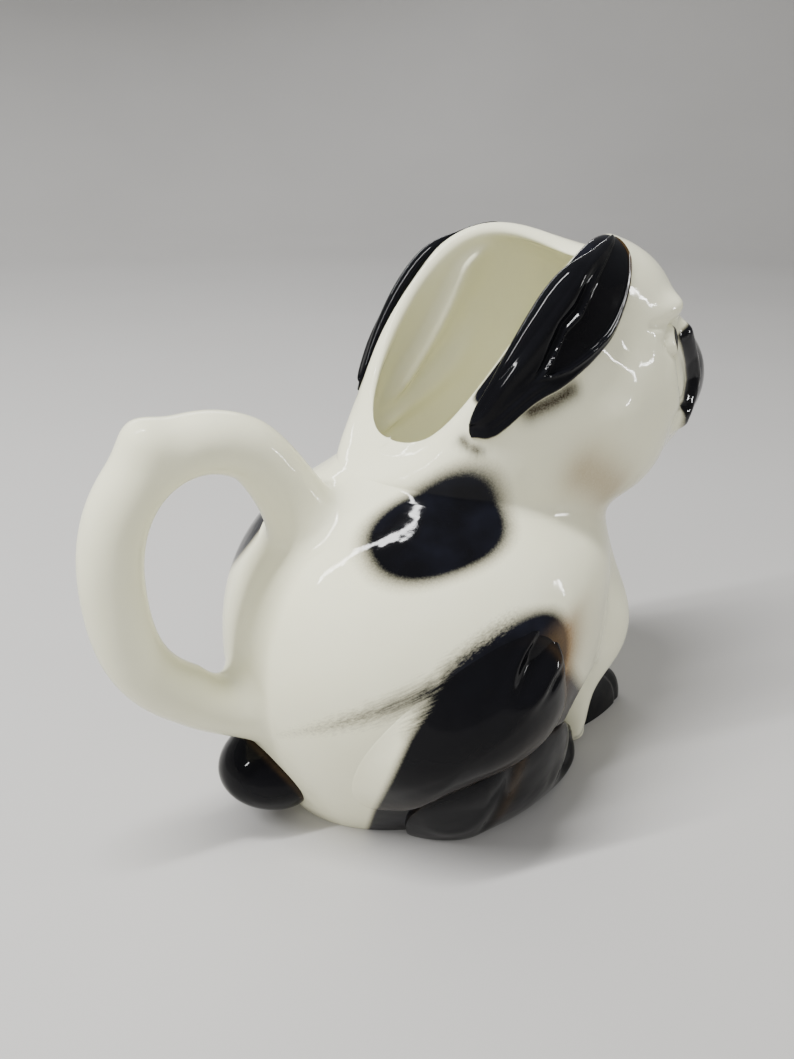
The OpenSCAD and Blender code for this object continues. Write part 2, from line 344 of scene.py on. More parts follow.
@dataclass(frozen=True)
class Markings:
    """Where the black, brown and grey are sprayed, and where warm bounce light is painted under the jaw and
    down the chest, as marks at each place of a casting.

    Places, half sizes and spray widths are in millimetres. Apart from the two spots, the left side
    mirrors the right.
    """

    flank: Spot = Spot((-16.2, -23.4, 70.7), (0.961, -0.178, 0.206), (0.01, 0.785, 0.619), (14.6, 9.4))
    rump: Spot = Spot((-35.0, 20.5, 63.0), (-0.77, -0.3, -0.56), (-0.2, 0.95, -0.24), (12.0, 11.0))
    eye: tuple[float, float, float] = (43.4, -25.1, 100.9)
    eye_along: tuple[float, float, float] = (0.95, 0.31, 0.0)
    eye_half: tuple[float, float] = (3.4, 3.0)
    pupil_half: tuple[float, float] = (1.5, 2.8)
    eye_reach: float = 1.4
    pupil_ahead: float = 0.12
    ear_ends: tuple[float, float] = (50.0, 119.0)
    ear_level: float = 1.955
    ear_level_mm: float = 40.0
    rim_mm_per_degree: float = 0.42
    patch_mm: float = 21.0
    under_mm: float = 15.0
    mask_heights: tuple[float, ...] = (79.0, 80.6, 84.4, 90.0, 94.0, 101.0, 102.5, 104.0)
    mask_backs: tuple[float, ...] = (53.0, 53.0, 53.4, 55.3, 53.2, 47.8, 50.0, 54.0)
    mask_bottom: float = 78.5
    bridge: tuple[float, float] = (103.4, 7.0)
    bridge_dip: tuple[float, float] = (9.0, 5.0)
    spot_spray: float = 1.4
    snout_spray: float = 0.6
    pupil_spray: float = 0.12
    ear_spray: float = 0.3
    brush_spray: tuple[float, float] = (1.0, 1.4)
    # Painted warm bounce light: lines under the jaw and down the chest where colour stands in for light
    # reflected up from below.
    throat_painted_bounce: Line = ((17, -27, 77.5), (22, -27, 74.5), (27, -26, 71))
    chest_painted_bounce: Line = ((27, -26, 71), (33, -22, 67), (40, -12, 64))
    painted_bounce_spread: float = 6.5
    ear_soot: Line = ((3, -26.2, 91.8), (8.1, -27.1, 93.4), (12, -27.4, 95))
    tip_soot: Line = ((-8.4, -19.9, 86.4), (-7.7, -21.3, 85.4), (-6.3, -22.7, 84.5))

    def right(self, points: Array) -> Array:
        """The places with the left side folded onto the right."""
        folded = points.copy()
        folded[..., 1] = -np.abs(folded[..., 1])
        return folded

    def eye_place(self, points: Array) -> tuple[Array, Array]:
        """Forward and upward shares of the eye at each place, 1 at its lids."""
        away = self.right(points) - np.array(self.eye)
        return away @ np.array(self.eye_along) / self.eye_half[0], away[..., 2] / self.eye_half[1]

    def haunch(self, angle: Array, level: Array) -> Array:
        """Millimetres inside the black of a haunch and of the hollow under it."""
        forward, upward = HAUNCH.local(-np.abs(angle), level)
        way = np.degrees(np.arctan2(upward, forward))
        diagonal = (forward + 0.62 - 0.34 * upward) * self.patch_mm
        edge = (1.03 + 0.1 * bell(way - 80, 45.0) - np.hypot(forward, upward)) * self.patch_mm
        under = (0.98 - 0.5 * np.minimum(upward, 0) - forward) * self.under_mm
        hollow = soft_min(under, (-0.1 - upward) * self.patch_mm, diagonal)
        along = (-0.28 - forward) / 0.47
        streak = (0.07 * (1 - along) - np.abs(upward - 0.93 - 0.09 * along)) * self.patch_mm
        streak = np.where(along > -0.2, streak, UNPAINTED)
        return np.maximum.reduce([soft_min(edge, diagonal), hollow, streak])

    def over_ear(self, angle: Array, above: Array) -> Array:
        """Millimetres inside the black strip between an ear and the crest of the rim.

        Args:
            angle: Degrees from the front.
            above: Millimetres that a place lies inside the strip across the rim.

        Returns:
            Millimetres inside the strip.
        """
        turn = np.abs(angle)
        ends = (turn - self.ear_ends[0], self.ear_ends[1] - turn)
        return soft_min(above, *(end * self.rim_mm_per_degree for end in ends), round_mm=0.5)

    def outside(self, points: Array, angle: Array, level: Array) -> Marks:
        """Marks of the body's and head's outside.

        Args:
            points: Places in millimetres.
            angle: Degrees from the front.
            level: Levels from the base to the rim.

        Returns:
            Paint depth and its spray in millimetres, and brown, grey and bare clay as shares; the brown holds
            the sprayed brown by the knee and painted warm bounce light under the jaw and down the chest.
        """
        right = self.right(points)
        x, y, z = right[..., 0], right[..., 1], right[..., 2]
        spots = np.maximum(self.flank.inside(points), self.rump.inside(points))
        mask = np.interp(z, self.mask_heights, self.mask_backs)
        bridge = self.bridge[0] - self.bridge[1] * bell(np.abs(y) - self.bridge_dip[0], self.bridge_dip[1])
        snout = soft_min((x - mask) * 0.8, bridge - z, z - self.mask_bottom, round_mm=1.2)
        u, v = self.eye_place(points)
        lids = np.hypot(u, v)
        wide, tall = (e / p for e, p in zip(self.eye_half, self.pupil_half))
        pupil = (1 - np.hypot((u - self.pupil_ahead) * wide, v * tall)) * self.pupil_half[0]
        eye = np.where(lids < self.eye_reach, pupil, UNPAINTED)
        snout = np.where(lids < 1.0, UNPAINTED, snout)
        haunch = self.haunch(angle, level)
        ear = self.over_ear(angle, (level - self.ear_level) * self.ear_level_mm)
        paint = np.maximum.reduce([spots, snout, eye, ear, haunch])
        forward, upward = HAUNCH.local(-np.abs(angle), level)
        crest = smooth_step(0.5, 0.75, upward) * smooth_step(0.7, 0.1, forward)
        brushed = self.brush_spray[0] + self.brush_spray[1] * crest
        spray = np.select([paint == spots, paint == snout, paint == eye, paint == ear],
                          [self.spot_spray, self.snout_spray, self.pupil_spray, self.ear_spray], brushed)
        ahead = smooth_step(0.45, 0.8, forward)
        ahead = ahead * smooth_step(0.75, 0.3, upward) * smooth_step(-1.9, -1.2, upward)
        off = np.maximum(np.hypot(forward, upward) - 1.0, 0) * self.patch_mm
        knee = ahead * (0.7 * bell(off, 4.5) + 0.25 * bell(off, 12.0))
        # Painted warm bounce light under the jaw and down the chest; the knee's brown is sprayed.
        throat = 0.6 * bell(near_line(right, self.throat_painted_bounce), self.painted_bounce_spread)
        chest = 0.35 * bell(near_line(right, self.chest_painted_bounce), self.painted_bounce_spread)
        brown = knee + np.maximum(throat, chest)
        ear_soot, tip_soot = near_line(right, self.ear_soot), near_line(right, self.tip_soot)
        grey = 0.95 * bell(ear_soot, 2.3) + 0.85 * bell(tip_soot, 1.2)
        return {"paint": paint, "spray": spray, "brown": brown, "grey": np.clip(grey, 0, 1), "clay": 0 * x}

    def plain(self, shape: tuple[int, ...], paint: float = UNPAINTED, spray: float = 0.5) -> Marks:
        """Marks of a place with one even colour."""
        marks = {name: np.zeros(shape) for name in ("paint", "spray", "brown", "grey", "clay")}
        marks["paint"] += paint
        marks["spray"] += spray
        return marks


MARKS = Markings()


class Casting:
    """Shared making of a closed casting from rings of places."""

    body = "root"
    crease_deg = 50.0

    @staticmethod
    def lay(name: str, rings: Array, marks: Marks, ring_joined: bool = False) -> bpy.types.Object:
        """Lays a ball or ring primitive on the rings of a casting and turns its faces outwards.

        Args:
            name: Name of the piece.
            rings: Rings of places in millimetres, from one end to the other.
            marks: Marks at each place.
            ring_joined: Whether the last ring joins the first, so that there are no ends.

        Returns:
            The piece.
        """
        rows, cols = rings.shape[:2]
        bpy.ops.object.select_all(action="DESELECT")
        if ring_joined:
            bpy.ops.mesh.primitive_torus_add(major_segments=cols, minor_segments=rows,
                                             major_radius=1.0, minor_radius=0.25)
        else:
            bpy.ops.mesh.primitive_uv_sphere_add(segments=cols, ring_count=rows + 1, radius=1.0)
        piece = bpy.context.object
        piece.name = piece.data.name = name
        mesh = piece.data
        start = np.empty(len(mesh.vertices) * 3)
        mesh.vertices.foreach_get("co", start)
        x, y, z = start.reshape(-1, 3).T
        col = np.round(np.arctan2(y, x) / (2 * np.pi) * cols).astype(int) % cols
        if ring_joined:
            row = np.round(np.arctan2(z, np.hypot(x, y) - 1.0) / (2 * np.pi) * rows).astype(int) % rows
        else:
            row = np.round(np.arccos(np.clip(z, -1, 1)) / np.pi * (rows + 1)).astype(int) - 1
        inner = np.clip(row, 0, rows - 1)
        places = rings[inner, col]
        ends = [(row < 0, 0), (row >= rows, rows - 1)]
        for at_end, ring in ends:
            places[at_end] = rings[ring].mean(0)
        mesh.vertices.foreach_set("co", (places * MM).ravel())
        for mark, values in marks.items():
            at = values[inner, col]
            for at_end, ring in ends:
                at[at_end] = values[ring].mean()
            mesh.attributes.new(mark, "FLOAT", "POINT").data.foreach_set("value", at.astype(np.float32))
        mesh.update()
        Casting.face_outwards(piece)
        bpy.ops.object.shade_smooth_by_angle(angle=math.radians(Casting.crease_deg))
        return piece

    @staticmethod
    def face_outwards(piece: bpy.types.Object) -> None:
        """Flips the faces of the active closed piece if they look inwards."""
        if Casting.volume(piece.data) < 0:
            bpy.ops.object.mode_set(mode="EDIT")
            bpy.ops.mesh.select_all(action="SELECT")
            bpy.ops.mesh.flip_normals()
            bpy.ops.object.mode_set(mode="OBJECT")

    @staticmethod
    def volume(mesh: bpy.types.Mesh) -> float:
        """Signed volume inside a closed mesh, in cubic metres."""
        mesh.calc_loop_triangles()
        co = np.empty(len(mesh.vertices) * 3)
        mesh.vertices.foreach_get("co", co)
        tri = np.empty(len(mesh.loop_triangles) * 3, np.int32)
        mesh.loop_triangles.foreach_get("vertices", tri)
        a, b, c = co.reshape(-1, 3)[tri.reshape(-1, 3)].transpose(1, 0, 2)
        return float(np.einsum("ij,ij->i", a, np.cross(b, c)).sum() / 6)

    @staticmethod
    def mirrored(piece: bpy.types.Object, name: str) -> bpy.types.Object:
        """A copy of a right-hand piece for the left side, with its own mesh."""
        bpy.ops.object.select_all(action="DESELECT")
        piece.select_set(True)
        bpy.context.view_layer.objects.active = piece
        bpy.ops.object.duplicate()
        twin = bpy.context.object
        twin.name = twin.data.name = name
        bpy.ops.object.mode_set(mode="EDIT")
        bpy.ops.mesh.select_all(action="SELECT")
        bpy.ops.transform.mirror(constraint_axis=(False, True, False), center_override=(0, 0, 0))
        bpy.ops.object.mode_set(mode="OBJECT")
        Casting.face_outwards(twin)
        return twin

    @staticmethod
    def seat(piece: bpy.types.Object, node: str, slot: str, finish: "Glaze") -> None:
        """Gives a piece its glaze and its place in the jug.

        Args:
            piece: The finished piece.
            node: The solid that it stands for.
            slot: Not used.
            finish: The glaze it wears.
        """
        piece.data.materials.clear()
        piece.data.materials.append(finish.material)
        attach(piece, Casting.body)
        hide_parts(node)
        LOG.info("%s: %d faces", piece.name, len(piece.data.polygons))

    def seat_pair(self, rings: Array, marks: Marks, part: str, node: str, slot: str, finish: "Glaze") -> None:
        """Lays a right-hand piece and its twin and seats both.

        Args:
            rings: Rings of the right-hand piece.
            marks: Marks at each place.
            part: Name of the piece without the side.
            node: Name of its node without the side.
            slot: Slot of the record's finish.
            finish: The glaze it wears.
        """
        right = self.lay(f"right_{part}", rings, marks)
        left = self.mirrored(right, f"left_{part}")
        for piece, side in ((right, Side.RIGHT), (left, Side.LEFT)):
            self.seat(piece, side.node(node), slot, finish)


@dataclass(frozen=True)
class Crease:
    """A line on the head that is raised, or pressed in below 0, and may be set back, in millimetres."""

    corners: Line
    width: float
    height: float
    set_back: float = 0.0

    def at(self, points: Array) -> Array:
        """Its height at each place."""
        away = near_line(points + np.array((self.set_back, 0.0, 0.0)), self.corners)
        return self.height * bell(away, self.width)


MUZZLE_LINE = ((44.8, -25.2, 98.5), (45.2, -25.4, 94.3), (46.3, -25.3, 91.0), (49.0, -24.4, 87.0),
               (54.0, -21.4, 83.6))
EYE_FOLD = ((35.5, -26.0, 104.8), (39.0, -25.4, 104.6), (42.3, -24.6, 104.6), (46.5, -23.2, 104.8))
WHISKER_PAD = ((52.0, -20.5, 101.0), (57.5, -19.0, 95.0), (59.5, -18.3, 90.0), (58.0, -19.0, 85.0),
               (54.5, -20.5, 80.5))
CHEEK = ((25.0, -29.0, 87.5),)
TEMPLE = ((28.0, -27.0, 103.0),)
FACE = (Crease(MUZZLE_LINE, 2.4, 0.7, 2.8), Crease(MUZZLE_LINE, 0.8, -0.9), Crease(EYE_FOLD, 0.8, -0.7),
        Crease(WHISKER_PAD, 3.0, 3.0), Crease(WHISKER_PAD, 9.0, -1.8), Crease(CHEEK, 9.0, 2.0),
        Crease(TEMPLE, 7.0, -1.3))


@dataclass
class Shell(Casting):
    """The two hollow castings: the belly and the head with its mouth, muzzle and eyes."""

    around: int = 288
    head_around: int = 400
    crowd: float = 26.0
    foot_recess: float = 0.9
    seam_step: float = 0.0006
    body_rows: tuple[int, int] = (150, 70)
    head_rows: tuple[int, int] = (160, 60)
    floor_level: float = 0.11
    rim_paint_deg: float = 75.0
    far_rim_paint_deg: float = 15.0
    rim_bend_deg: tuple[float, float, int] = (15.0, 165.0, 11)
    brow: tuple[float, float, float] = (44.5, -23.0, 107.4)
    brow_along: tuple[float, float, float] = (0.93, 0.34, -0.1)
    nostril: tuple[float, float] = (-2.3, 88.2)
    lip_height: float = 78.6
    cheek_ripple: tuple[float, float] = (25.0, 96.0)

    def turns(self, count: int) -> Array:
        """Angles round a casting, closer together at the face."""
        even = np.arange(count) * 360.0 / count
        return even - self.crowd * np.sin(np.radians(even))

    def inside_at(self, angle: Array, level: Array) -> Array:
        """The inside wall: straight in from the belly, towards the middle in the head."""
        over = FORM.skin(angle, level)
        over[..., 0] -= FORM.muzzle_length * np.exp(-FORM.muzzle_depth(over) ** 3)
        middle = (FORM.bare(0 * angle, level) + FORM.bare(0 * angle + 180.0, level)) / 2
        towards = unit(middle - over)
        share = smooth_step(0.75, 1.0, level)[..., None]
        straight = -FORM.out(angle, level)
        return over + FORM.wall * unit(straight * (1 - share) + towards * share)

    def pressed(self, angle: Array, level: Array) -> Array:
        """Soft folds inside the head, where the ears were pressed in from outside."""
        turn, share = np.abs(angle), level - 1
        upper = 3.4 * bell(share - 0.93 + 0.0085 * (turn - 62), 0.085)
        upper = upper * smooth_step(45, 62, turn) * smooth_step(128, 105, turn)
        lower = 2.6 * bell(share - 0.5 + 0.006 * (turn - 80), 0.09)
        lower = lower * smooth_step(60, 80, turn) * smooth_step(135, 115, turn)
        return (upper + lower) * smooth_step(1.0, 0.9, share)

    def face(self, points: Array) -> Array:
        """Height of the brows, eyes, muzzle and mouth over the head, in millimetres."""
        right = MARKS.right(points)
        x, y, z = right[..., 0], right[..., 1], right[..., 2]
        height = sum(crease.at(right) for crease in FACE)
        away = right - np.array(self.brow)
        height += 2.2 * bell(away @ np.array(self.brow_along), 5.5) * bell(away[..., 2], 2.7)
        u, v = MARKS.eye_place(points)
        lids = np.hypot(u, v)
        ball = 1.1 * np.sqrt(np.maximum(0, 1 - lids ** 2))
        height += ball - 0.5 * bell(lids, 1.5) - 0.4 * bell(lids - 1.1, 0.12)
        ahead, above = x - self.cheek_ripple[0], z - self.cheek_ripple[1]
        wave = np.sin(above / 1.9 + (ahead + 1) / 3.5)
        height += 0.22 * wave * bell(np.hypot(ahead, 0.8 * above), 7.0) * smooth_step(-20, -24, y)
        front = smooth_step(64, 70, x)
        cleft = bell(y, 0.75) * front * smooth_step(89, 85, z) * smooth_step(76.5, 78.5, z)
        mouth = bell(z - self.lip_height - 0.018 * y * y, 0.7)
        mouth = mouth * smooth_step(58, 64, x) * smooth_step(-11, -9, y)
        nostril = bell(np.hypot(y - self.nostril[0], z - self.nostril[1]), 1.0) * front
        return height - 0.9 * cleft - 0.9 * mouth - 0.7 * nostril

    def normals(self, rings: Array) -> Array:
        """Normals of rings of places on the outside."""
        closed = np.concatenate([rings[:, -1:], rings, rings[:, :1]], 1)
        around = np.gradient(closed, axis=1)[:, 1:-1]
        up = np.gradient(rings, axis=0)
        return unit(np.cross(around, up))

    @staticmethod
    def shrunk(ring: Array, height: float, steps: Sequence[tuple[float, float]]) -> Array:
        """Flat copies of a ring.

        Args:
            ring: Places of the ring.
            height: Height of the copies.
            steps: Share of the ring's size and rise over the height of each copy.

        Returns:
            The copies.
        """
        return np.stack([np.concatenate([ring[:, :2] * share, 0 * ring[:, 2:] + height + rise], 1)
                         for share, rise in steps])

    def build_body(self) -> bpy.types.Object:
        """The belly: up the inside, down the outside and in under the foot."""
        turn = self.turns(self.around)
        seam = self.seam_step
        edges = [0.003, 0.008, 1 - seam, 1.0]
        outer = np.unique(np.concatenate([np.linspace(0.0, 1 - 2 * seam, self.body_rows[0]), edges]))
        angle, level = np.meshgrid(turn, outer)
        outside = FORM.skin(angle, level)
        marks = MARKS.outside(outside, half_turn(angle), level)
        inner = np.linspace(self.floor_level, 1.0, self.body_rows[1])
        in_angle, in_level = np.meshgrid(turn, inner)
        inside = self.inside_at(in_angle, in_level)
        inside[..., 2] = np.maximum(inside[..., 2], FORM.wall)
        dish = [(0.15, 0.0), (0.45, 0.0), (0.72, 0.05), (0.88, 0.3), (0.96, 1.0)]
        floor = self.shrunk(inside[0], FORM.wall, dish)
        recess = [(share, self.foot_recess) for share in (0.1, 0.6, 0.85)]
        ring = [(0.88, 0.6), (0.9, 0.12), (0.92, 0.0), (0.97, 0.0), (0.988, 0.12)]
        under = self.shrunk(outside[0], 0.0, recess + ring)
        rings = np.concatenate([floor, inside, outside[::-1], under[::-1]])
        hidden = MARKS.plain((len(floor) + len(inside), self.around))
        below = MARKS.plain((len(under), self.around))
        below["clay"][1:4] = 1.0
        whole = {name: np.concatenate([hidden[name], marks[name][::-1], below[name]]) for name in marks}
        return self.lay("belly_casting", rings, whole)

    def build_head(self) -> bpy.types.Object:
        """The head: up the outside, over the rounded rim and down inside to the neck joint."""
        turn = self.turns(self.head_around)
        seam = self.seam_step
        edges = [1.0, 1 + seam]
        outer = np.unique(np.concatenate([edges, np.linspace(1 + 2 * seam, 2.0, self.head_rows[0])]))
        angle, level = np.meshgrid(turn, outer)
        outside = FORM.skin(angle, level)
        marks = MARKS.outside(outside, half_turn(angle), level)
        height = self.face(outside) * smooth_step(1.0, 1.1, level)
        raised = outside + height[..., None] * self.normals(outside)
        inner = np.linspace(2.0, 1.0, self.head_rows[1])
        in_angle, in_level = np.meshgrid(turn, inner)
        inside = self.inside_at(in_angle, in_level)
        towards = np.stack([FORM.mouth[0] - inside[..., 0], -inside[..., 1], 0 * inside[..., 2]], -1)
        inside = inside + self.pressed(half_turn(in_angle), in_level)[..., None] * unit(towards)
        edge, lip = raised[-1], inside[0]
        up = unit(edge - raised[-4])
        bend = np.linspace(*self.rim_bend_deg)
        middle, half = (edge + lip) / 2, (edge - lip) / 2
        rim = [middle + math.cos(b) * half + math.sin(b) * FORM.wall / 2 * up for b in np.radians(bend)]
        rings = np.concatenate([raised, np.stack(rim), inside])
        bare = MARKS.plain((len(rim) + len(inside), self.head_around))
        reach = np.where(edge[:, 1] < 0, self.rim_paint_deg, self.far_rim_paint_deg)
        above = np.radians(reach[None, :] - bend[:, None]) * FORM.wall / 2
        bare["paint"][:len(rim)] = MARKS.over_ear(half_turn(angle[:1]), above)
        bare["spray"][:len(rim)] = MARKS.ear_spray
        whole = {name: np.concatenate([marks[name], bare[name]]) for name in marks}
        return self.lay("head_casting", rings, whole, ring_joined=True)

    def make(self, ivory: "Glaze") -> None:
        """Builds and dresses both castings."""
        self.seat(self.build_body(), "body", "white_glaze", ivory)
        self.seat(self.build_head(), "head", "white_glaze", ivory)


@dataclass
class Ear(Casting):
    """A laid-back ear: a leaf along the rim with a rolled edge, a fold and a hollow facet.

    Front and tip are degrees round the rim, and the tables go from the tip to the front.
    """

    along_at: tuple[float, ...] = (
        0.0, 0.03, 0.08, 0.16, 0.23, 0.3, 0.4, 0.51, 0.6, 0.66, 0.78, 0.9, 0.96, 1.0)
    widths: tuple[float, ...] = (3.6, 5.6, 6.6, 7.5, 8.1, 9.2, 12.2, 14.2, 15.0, 14.9, 12.0, 7.4, 5.0, 3.0)
    over_rim: tuple[float, ...] = (0.1, 0.2, 0.4, 0.9, 1.4, 2.0, 2.6, 2.9, 2.6, 2.0, 0.4, 0.0, 0.0, 0.0)
    thickness: float = 3.0
    tip_drop: float = 3.2
    tip_round: float = 0.13
    front_round: float = 0.1
    front: float = 49.5
    tip: float = 128.0
    seat_gap: float = 0.03
    along: int = 150
    top: int = 120
    under: int = 40

    @staticmethod
    def corner(share: Array, width: float) -> Array:
        """Rises as a quarter round over a width and stays at 1."""
        return np.sqrt(np.clip(1 - (1 - np.clip(share / width, 0, 1)) ** 2, 0, 1))

    def place(self, angle: Array, down: Array, height: Array) -> Array:
        """Places over the head under the rim, and over the bend of the rim.

        Args:
            angle: Degrees from the front.
            down: Millimetres down from the outer edge of the rim, below 0 on its bend.
            height: Millimetres over the clay.

        Returns:
            The places.
        """
        level = 2 + 0 * angle
        edge, out = FORM.skin(angle, level), FORM.out(angle, level)
        up = unit(edge - FORM.skin(angle, level - 0.03))
        bend = np.maximum(-down, 0) * 2 / FORM.wall
        turned = np.cos(bend)[..., None] * out + np.sin(bend)[..., None] * up
        over = edge - FORM.wall / 2 * out + (FORM.wall / 2 + height)[..., None] * turned
        span = 2 * np.linalg.norm(FORM.rim_at(angle) - FORM.skin(angle, level - 0.5), axis=-1)
        below = FORM.on(angle, level - np.maximum(down, 0) / span, height)
        return np.where((down < 0)[..., None], over, below)

    def relief(self, u: Array, v: Array, w: Array) -> Array:
        """Height of the leaf as a share of its thickness.

        Args:
            u: Share along the ear from its tip.
            v: Share across the ear from the edge of the rim.
            w: Share across from one edge of the leaf to the other.

        Returns:
            Shares of the thickness.
        """
        upper = np.interp(u, (0.3, 0.34, 0.41, 0.48, 0.56, 0.65, 0.8, 1.0),
                          (0.66, 0.62, 0.46, 0.33, 0.36, 0.26, 0.24, 0.24))
        lower = np.interp(u, (0.3, 0.34, 0.44, 0.53, 0.63, 0.8, 1.0), (0.66, 0.65, 0.8, 0.85, 0.88, 0.9, 0.9))
        roll = np.interp(u, (0.0, 0.07, 0.21, 0.41, 0.61, 1.0), (0.45, 0.4, 0.2, 0.12, 0.06, 0.04))
        opened = smooth_step(0.31, 0.38, u)
        facet = smooth_step(0.0, 0.04, v - upper) * smooth_step(0.0, 0.04, lower - v) * opened
        ridges = (bell(v - upper, 0.035) * smooth_step(0.72, 0.62, u) + 0.8 * bell(v - lower, 0.035)) * opened
        valley = bell(v - upper + 0.1, 0.06) * smooth_step(0.2, 0.36, u) * smooth_step(0.8, 0.66, u)
        folds = bell(v - 0.62 - 0.35 * (u - 0.2), 0.05) + 0.7 * bell(v - 0.8 - 0.2 * (u - 0.2), 0.04)
        height = 0.6 + 0.38 * bell(v - roll, 0.15) + 0.2 * ridges - 0.16 * valley - 0.2 * facet
        height = height - 0.1 * folds * smooth_step(0.06, 0.15, u) * smooth_step(0.4, 0.28, u)
        return np.minimum(height, 1.0) * self.corner(w, 0.2) * self.corner(1 - w, 0.08)

    def build(self) -> tuple[Array, Marks]:
        """Rings and marks of the right ear."""
        step = 0.5 - 0.497 * np.cos(np.pi * np.linspace(0, 1, self.along))
        across_top = 0.5 - 0.5 * np.cos(np.pi * np.linspace(0, 1, self.top))
        across_under = np.linspace(1, 0, self.under + 2)[1:-1]
        u, w = np.meshgrid(step, np.concatenate([across_top, across_under]), indexing="ij")
        is_top = (np.arange(w.shape[1]) < self.top)[None, :]
        angle = -(self.tip + (self.front - self.tip) * u)
        tip = self.corner(u, self.tip_round)
        ends = tip * self.corner(1 - u, self.front_round)
        wide = ends * eased(u, self.along_at, self.widths, 0.04, 9)
        over = ends * eased(u, self.along_at, self.over_rim, 0.04, 9)
        down = (wide + over) * w - over + self.tip_drop * (1 - tip)
        thick = self.thickness * np.sin(np.pi * u) ** 0.4 * (1 - 0.35 * smooth_step(0.62, 0.85, u))
        height = np.where(is_top, thick * self.relief(u, np.maximum(down / wide, 0), w), 0.0)
        rings = self.place(angle, down, self.seat_gap + height)
        marks = MARKS.plain(u.shape, COVERED, 0.35)
        wall = smooth_step(0.9, 0.97, w) * smooth_step(0.62, 0.4, u)
        low_edge = (height - 0.5 * thick) * 1.4
        marks["paint"] = np.where(is_top & (wall > 0.5), low_edge, COVERED)
        marks["brown"] = 0.6 * bell((1 - w) * wide - 0.5, 0.5) * is_top * smooth_step(0.6, 0.8, u)
        return rings, marks

    def make(self, black: "Glaze") -> None:
        """Builds and dresses both ears."""
        self.seat_pair(*self.build(), "ear_leaf", "ear", "black_glaze", black)


@dataclass
class Dome:
    """The places of a swelling: where each lies on the belly, and its way and reach from the middle."""

    angle: Array
    level: Array
    forward: Array
    upward: Array
    share: Array
    way: Array
    top: Array


@dataclass
class Swelling(Casting):
    """A limb that swells from the belly: haunch, foreleg or tail."""

    patch: Patch
    rise: float = 5.0
    peak: tuple[float, float] = (0.0, 0.0)
    soft_edge: float = 1.6
    crisp_edge: float = 1.6
    crisp_from: float = -150.0
    crisp_to: float = 30.0
    edge_blend: float = 25.0
    rows: int = 64
    cols: int = 160
    under_rows: int = 14
    under_depth: float = 0.4
    seat_gap: float = 0.02
    rim_sink: float = 0.12

    def stretch(self, way: Array) -> Array:
        """How far the outline reaches each way, in sizes of the patch."""
        return np.ones_like(way)

    def place(self, forward: Array, upward: Array) -> tuple[Array, Array]:
        """Angle and level of a place on the swelling."""
        return self.patch.place(forward, upward)

    def swell(self, dome: Dome) -> Array:
        """Height over the belly: crisp at an edge with a power below 1, flowing above 1."""
        middle, half = (self.crisp_from + self.crisp_to) / 2, (self.crisp_to - self.crisp_from) / 2
        off = np.abs(half_turn(dome.way - middle))
        crisp = smooth_step(half + self.edge_blend, half - self.edge_blend, off)
        power = self.soft_edge + (self.crisp_edge - self.soft_edge) * crisp
        lean = 1 + self.peak[0] * dome.forward + self.peak[1] * dome.upward
        return self.rise * np.maximum(1 - dome.share ** 2, 0) ** power * lean

    def pressed(self, dome: Dome) -> Array:
        """Depth of what is pressed into the swelling."""
        return np.zeros_like(dome.share)

    def dome(self) -> Dome:
        """The places of the swelling, from the middle of its underside to its crown."""
        crown = np.sin(np.pi / 2 * np.linspace(0.03, 1.0, self.rows))[::-1]
        reach = np.concatenate([np.linspace(0.05, 0.999, self.under_rows), crown])
        top = (np.arange(len(reach)) >= self.under_rows)[:, None]
        way, share = np.meshgrid(np.arange(self.cols) * 360.0 / self.cols - 180, reach)
        wide = share * self.stretch(way)
        forward, upward = wide * np.cos(np.radians(way)), wide * np.sin(np.radians(way))
        angle, level = self.place(forward, upward)
        return Dome(angle, level, forward, upward, share, way, top)

    def rings(self, dome: Dome) -> Array:
        """Rings of the swelling on the belly."""
        over = np.maximum(self.swell(dome) - self.pressed(dome), 0)
        under = -self.under_depth * (1 - dome.share ** 2)
        sink = self.rim_sink * smooth_step(0.95, 1.0, dome.share)
        return FORM.on(dome.angle, dome.level, self.seat_gap + np.where(dome.top, over, under) - sink)


@dataclass
class Haunch(Swelling):
    """A thigh: crisp along its front and lower edge, flowing into the rump behind."""

    outline: tuple[tuple[float, float], ...] = (
        (-180, 1.0), (-150, 0.88), (-123, 0.68), (-101, 0.56), (-80, 0.6), (-63, 0.7), (-52, 0.92),
        (-44, 1.2), (-36, 1.29), (-27, 1.24), (-11, 1.02), (10, 0.95), (42, 0.95), (90, 1.0), (180, 1.0))
    soften: int = 4

    def stretch(self, way: Array) -> Array:
        """Further out in front of the foot and drawn up over the hock."""
        at, reach = zip(*self.outline)
        once = np.interp(way[0], at, reach)
        return np.mean([np.roll(once, k) for k in range(-self.soften, self.soften + 1)], 0)[None, :] + 0 * way

    def pressed(self, dome: Dome) -> Array:
        """The dimple and pinches of the knee."""
        forward, upward = dome.forward, dome.upward
        dimple = 1.6 * bell(np.hypot(forward - 0.62, upward - 0.46), 0.19)
        pinch = 0.7 * bell(forward - 0.78, 0.12) * bell(upward - 0.09, 0.05)
        notch = 0.8 * bell(np.hypot(forward - 0.74, upward - 0.62), 0.07)
        rim = 0.6 * bell(np.hypot(forward - 0.6, upward - 0.44) - 0.27, 0.08) * smooth_step(0.8, 0.5, forward)
        return dimple + pinch + notch - rim

    def make(self, black: "Glaze") -> None:
        """Builds and dresses both haunches."""
        dome = self.dome()
        rings = self.rings(dome)
        marks = MARKS.outside(rings, dome.angle, dome.level)
        front = smooth_step(55, 35, dome.way) * smooth_step(-100, -80, dome.way)
        low = smooth_step(-0.1, -0.6, dome.upward)
        marks["spray"] = 0.5 + (marks["spray"] - 0.5) * (1 - front)
        marks["paint"] = np.where(front > 0.5, np.maximum(marks["paint"], 3.0), marks["paint"])
        marks["brown"] = 0.8 * bell(dome.share - 0.93, 0.035) * bell(dome.way + 35, 45.0) + 0.15 * low
        self.seat_pair(rings, marks, "thigh", "haunch", "black_glaze", black)


